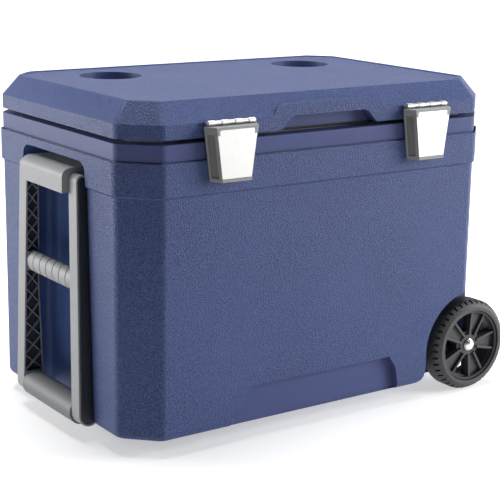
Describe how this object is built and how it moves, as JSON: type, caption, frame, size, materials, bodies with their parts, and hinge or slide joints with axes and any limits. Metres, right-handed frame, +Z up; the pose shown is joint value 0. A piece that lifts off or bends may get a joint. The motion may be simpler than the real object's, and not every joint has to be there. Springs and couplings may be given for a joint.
{
  "type": "wheeled cooler",
  "caption": "Insulated picnic cooler with a hinged lid, two front latches, a swing-out pull handle on one end, two wheels on the other and two cup holders in the lid.",
  "frame": {"origin": "on the floor, under the middle of the whole object's box", "axes": "+X to the wheel end, -X to the pull handle, -Y to the front with the latches, +Y to the back with the hinges, +Z up"},
  "size_m": [0.633, 0.4232, 0.441],
  "materials": {
    "shell_blue": "pebble-grained moulded plastic",
    "band_blue": "smooth satin plastic",
    "foam": "rigid polyurethane foam",
    "liner_white": "smooth plastic",
    "light_grey": "satin plastic",
    "mid_grey": "fine-grained plastic",
    "charcoal": "satin plastic",
    "rubber": "soft black rubber",
    "tyre": "black rubber tread",
    "wheel_grey": "dark moulded plastic",
    "satin_steel": "fine brushed stainless steel",
    "bright_steel": "bright plated steel"
  },
  "bodies": {
    "tub": {"outer_shell": "shell_blue", "body_foam": "foam", "inner_liner": "liner_white", "rim_band": "band_blue", "foot_front": "rubber", "foot_rear": "rubber", "hinge_body_leaf_left": "charcoal", "hinge_body_leaf_right": "charcoal", "hinge_pin_left": "satin_steel", "hinge_pin_right": "satin_steel", "hinge_body_screws": "satin_steel", "latch_keeper_left": "light_grey", "latch_keeper_right": "light_grey", "handle_bracket": "light_grey", "bracket_screws": "satin_steel", "pivot_pin_front": "satin_steel", "pivot_pin_rear": "satin_steel", "axle": "bright_steel", "wheel_washer_front": "satin_steel", "wheel_washer_rear": "satin_steel", "axle_cap_front": "bright_steel", "axle_cap_rear": "bright_steel", "drain_fitting": "mid_grey", "drain_washer": "rubber"},
    "lid": {"lid_shell": "shell_blue", "lid_foam": "foam", "lid_liner": "liner_white", "lid_gasket": "rubber", "hinge_lid_leaf_left": "charcoal", "hinge_lid_leaf_right": "charcoal", "hinge_lid_screws": "satin_steel", "latch_strip_left": "satin_steel", "latch_strip_right": "satin_steel", "latch_pin_left": "satin_steel", "latch_pin_right": "satin_steel"},
    "latch_left": {"latch_frame_left": "light_grey", "latch_plate_left": "satin_steel"},
    "latch_right": {"latch_frame_right": "light_grey", "latch_plate_right": "satin_steel"},
    "pull_handle": {"handle_arm_front": "light_grey", "handle_arm_rear": "light_grey", "arm_cover_front": "charcoal", "arm_cover_rear": "charcoal", "middle_grip": "light_grey", "tow_grip": "mid_grey", "grip_rod": "satin_steel"},
    "wheel_front": {"wheel_rim_front": "wheel_grey", "tyre_front": "tyre"},
    "wheel_rear": {"wheel_rim_rear": "wheel_grey", "tyre_rear": "tyre"},
    "drain_plug": {"drain_plug": "charcoal"}
  },
  "joints": [
    {"name": "lid_hinge", "type": "hinge", "parent": "tub", "child": "lid", "pos_m": [-0.0075, 0.20665, 0.39475], "axis": [-1, 0, 0], "range_deg": [0, 100]},
    {"name": "latch_left_swing", "type": "hinge", "parent": "lid", "child": "latch_left", "pos_m": [-0.1625, -0.19665, 0.4145], "axis": [-1, 0, 0], "range_deg": [0, 120]},
    {"name": "latch_right_swing", "type": "hinge", "parent": "lid", "child": "latch_right", "pos_m": [0.1475, -0.19665, 0.4145], "axis": [-1, 0, 0], "range_deg": [0, 120]},
    {"name": "handle_swing", "type": "hinge", "parent": "tub", "child": "pull_handle", "pos_m": [-0.299, 0.00335, 0.333], "axis": [0, 1, 0], "range_deg": [0, 120]},
    {"name": "wheel_front_spin", "type": "hinge", "parent": "tub", "child": "wheel_front", "pos_m": [0.2515, -0.17915, 0.065], "axis": [0, 1, 0], "continuous": true},
    {"name": "wheel_rear_spin", "type": "hinge", "parent": "tub", "child": "wheel_rear", "pos_m": [0.2515, 0.18585, 0.065], "axis": [0, 1, 0], "continuous": true},
    {"name": "drain_plug_out", "type": "slide", "parent": "tub", "child": "drain_plug", "axis": [0, 1, 0], "range_m": [0, 0.03]}
  ]
}
